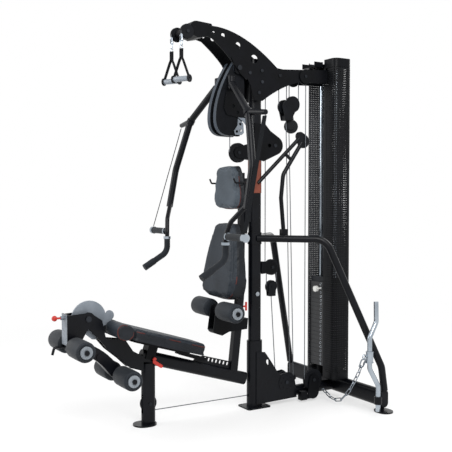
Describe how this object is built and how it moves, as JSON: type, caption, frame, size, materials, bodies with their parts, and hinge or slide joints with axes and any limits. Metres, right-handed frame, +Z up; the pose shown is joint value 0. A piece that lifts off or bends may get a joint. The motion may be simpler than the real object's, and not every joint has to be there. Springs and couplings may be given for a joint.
{
  "type": "multi station home gym",
  "caption": "Home gym with press arms, high and low pulleys, a leg lever, adjustable padded bench and a shrouded weight stack on an oval steel frame.",
  "frame": {"origin": "on the floor under the axis of the main upright", "axes": "+X towards the side that stores the curl bar, -Y towards the bench and leg lever, +Y towards the weight stack, +Z up"},
  "size_m": [1.0384, 1.775, 2.108],
  "materials": {
    "painted_steel": "satin",
    "accent_paint": "satin",
    "perforated_sheet": "satin",
    "moulded_yoke": "satin",
    "grey_casting": "satin",
    "vinyl": "satin",
    "foam": "satin",
    "chrome": "polished",
    "cast_plates": "satin",
    "nylon_sheave": "satin",
    "red_plastic": "gloss",
    "white_plastic": "gloss",
    "webbing": "matte",
    "zinc_bolts": "satin",
    "steel_cable": "satin"
  },
  "bodies": {
    "frame": {"main_upright": "painted_steel", "accent_sleeve": "accent_paint", "base_beam": "painted_steel", "rear_cross_beam": "painted_steel", "end_caps": "nylon_sheave", "stabiliser_near": "painted_steel", "stabiliser_far": "painted_steel", "front_post": "painted_steel", "bench_rail": "painted_steel", "leg_arm": "painted_steel", "knee_bolster": "vinyl", "boom_plates": "painted_steel", "boom_spacers": "painted_steel", "pulley_brackets": "painted_steel", "strut_frame": "painted_steel", "guide_rods": "chrome", "tower_frame": "painted_steel", "shroud_near": "perforated_sheet", "shroud_far": "perforated_sheet", "resting_plates": "cast_plates", "back_frame": "painted_steel", "upper_back_pad": "vinyl", "lower_back_pad": "vinyl", "frame_bolts": "zinc_bolts", "fixed_cables": "steel_cable", "moving_cables": "steel_cable", "link_chain": "chrome"},
    "press": {"yoke_shells": "moulded_yoke", "yoke_hub": "grey_casting"},
    "arm_near": {"arm_near": "painted_steel", "grips_near": "foam", "strap_near": "webbing"},
    "arm_far": {"arm_far": "painted_steel", "grips_far": "foam", "strap_far": "webbing"},
    "stack": {"picked_stack": "cast_plates", "stack_head": "cast_plates"},
    "selector_pin": {"selector_pin": "white_plastic"},
    "seat": {"seat_pad": "vinyl", "seat_carriage": "painted_steel"},
    "seat_lever": {"seat_lever": "red_plastic"},
    "leg_lever": {"leg_cam": "grey_casting", "leg_lever": "painted_steel"},
    "ankle_rollers": {"ankle_rollers": "foam"},
    "shin_rollers": {"shin_rollers": "foam"},
    "lever_plunger": {"lever_plunger": "red_plastic"},
    "thigh_carriage": {"thigh_carriage": "painted_steel"},
    "thigh_rollers": {"thigh_rollers": "foam"},
    "back_knob": {"back_knob": "red_plastic"},
    "nose_sheaves": {"pulley_head": "nylon_sheave"},
    "stirrups": {"stirrups": "webbing"},
    "curl_bar": {"curl_bar": "chrome"},
    "front_sheave": {"front_sheave": "nylon_sheave"},
    "rear_sheave": {"rear_sheave": "nylon_sheave"},
    "lower_sheave": {"lower_sheave": "nylon_sheave"},
    "low_sheave": {"low_sheave": "nylon_sheave"},
    "foot_sheave": {"foot_sheave": "nylon_sheave"},
    "post_sheave": {"post_sheave": "nylon_sheave"},
    "floating_blocks": {"floating_blocks": "nylon_sheave"}
  },
  "joints": [
    {"name": "press_swing", "type": "hinge", "parent": "frame", "child": "press", "pos_m": [0, -0.141, 1.885], "axis": [-1, 0, 0], "range_deg": [0, 35], "deforming": ["moving_cables"]},
    {"name": "arm_near_swing", "type": "hinge", "parent": "press", "child": "arm_near", "pos_m": [0.072, -0.196, 1.8], "axis": [0, 0, 1], "range_deg": [-8, 8]},
    {"name": "arm_far_swing", "type": "hinge", "parent": "press", "child": "arm_far", "pos_m": [-0.072, -0.196, 1.8], "axis": [0, 0, -1], "range_deg": [-8, 8]},
    {"name": "stack_lift", "type": "slide", "parent": "frame", "child": "stack", "axis": [0, 0, 1], "range_m": [0, 0.9], "deforming": ["moving_cables"]},
    {"name": "pin_pull", "type": "slide", "parent": "stack", "child": "selector_pin", "axis": [0, -1, 0], "range_m": [0, 0.09]},
    {"name": "seat_slide", "type": "slide", "parent": "frame", "child": "seat", "axis": [0, 0.9558, -0.294], "range_m": [0, 0.1]},
    {"name": "seat_lever_flip", "type": "hinge", "parent": "seat", "child": "seat_lever", "pos_m": [0.036, -0.6409, 0.3461], "axis": [1, 0, 0], "range_deg": [0, 35]},
    {"name": "leg_swing", "type": "hinge", "parent": "frame", "child": "leg_lever", "pos_m": [0, -1, 0.585], "axis": [-1, 0, 0], "range_deg": [0, 95]},
    {"name": "ankle_spin", "type": "hinge", "parent": "leg_lever", "child": "ankle_rollers", "pos_m": [0, -0.832, 0.288], "axis": [1, 0, 0], "continuous": true},
    {"name": "shin_spin", "type": "hinge", "parent": "leg_lever", "child": "shin_rollers", "pos_m": [0, -1.077, 0.456], "axis": [1, 0, 0], "continuous": true},
    {"name": "plunger_pull", "type": "slide", "parent": "leg_lever", "child": "lever_plunger", "axis": [0, -1, 0], "range_m": [0, 0.012], "stiffness_N_per_m": 400, "springref_m": -0.005},
    {"name": "thigh_slide", "type": "slide", "parent": "frame", "child": "thigh_carriage", "axis": [0, -0.1141, -0.9935], "range_m": [0, 0.05]},
    {"name": "thigh_spin", "type": "hinge", "parent": "thigh_carriage", "child": "thigh_rollers", "pos_m": [0, -0.245, 0.573], "axis": [1, 0, 0], "continuous": true},
    {"name": "knob_pull", "type": "slide", "parent": "frame", "child": "back_knob", "axis": [0, 1, 0], "range_m": [0, 0.01], "stiffness_N_per_m": 400, "springref_m": -0.005},
    {"name": "nose_spin", "type": "hinge", "parent": "frame", "child": "nose_sheaves", "pos_m": [0, -0.456, 2.048], "axis": [1, 0, 0], "continuous": true},
    {"name": "stirrup_swing", "type": "hinge", "parent": "frame", "child": "stirrups", "pos_m": [0, -0.4895, 2.0018], "axis": [1, 0, 0], "range_deg": [-25, 10]},
    {"name": "curl_bar_lift", "type": "slide", "parent": "frame", "child": "curl_bar", "axis": [0, 0, 1], "range_m": [0, 0.045], "deforming": ["link_chain"]},
    {"name": "front_sheave_spin", "type": "hinge", "parent": "frame", "child": "front_sheave", "pos_m": [0, -0.112, 1.43], "axis": [1, 0, 0], "continuous": true},
    {"name": "rear_sheave_spin", "type": "hinge", "parent": "frame", "child": "rear_sheave", "pos_m": [0, 0.117, 1.475], "axis": [1, 0, 0], "continuous": true},
    {"name": "lower_sheave_spin", "type": "hinge", "parent": "frame", "child": "lower_sheave", "pos_m": [0, 0.112, 0.787], "axis": [1, 0, 0], "continuous": true},
    {"name": "low_sheave_spin", "type": "hinge", "parent": "frame", "child": "low_sheave", "pos_m": [0, 0.196, 0.122], "axis": [1, 0, 0], "continuous": true},
    {"name": "foot_sheave_spin", "type": "hinge", "parent": "frame", "child": "foot_sheave", "pos_m": [0.056, 0.367, 0.122], "axis": [1, 0, 0], "continuous": true},
    {"name": "post_sheave_spin", "type": "hinge", "parent": "frame", "child": "post_sheave", "pos_m": [0, -0.66, 0.112], "axis": [1, 0, 0], "continuous": true},
    {"name": "block_travel", "type": "slide", "parent": "frame", "child": "floating_blocks", "axis": [0, 0, -1], "range_m": [0, 0.46], "deforming": ["moving_cables"]}
  ],
  "couplings": [
    {"joint": "block_travel", "follows": "stack_lift", "ratio": 0.5}
  ]
}
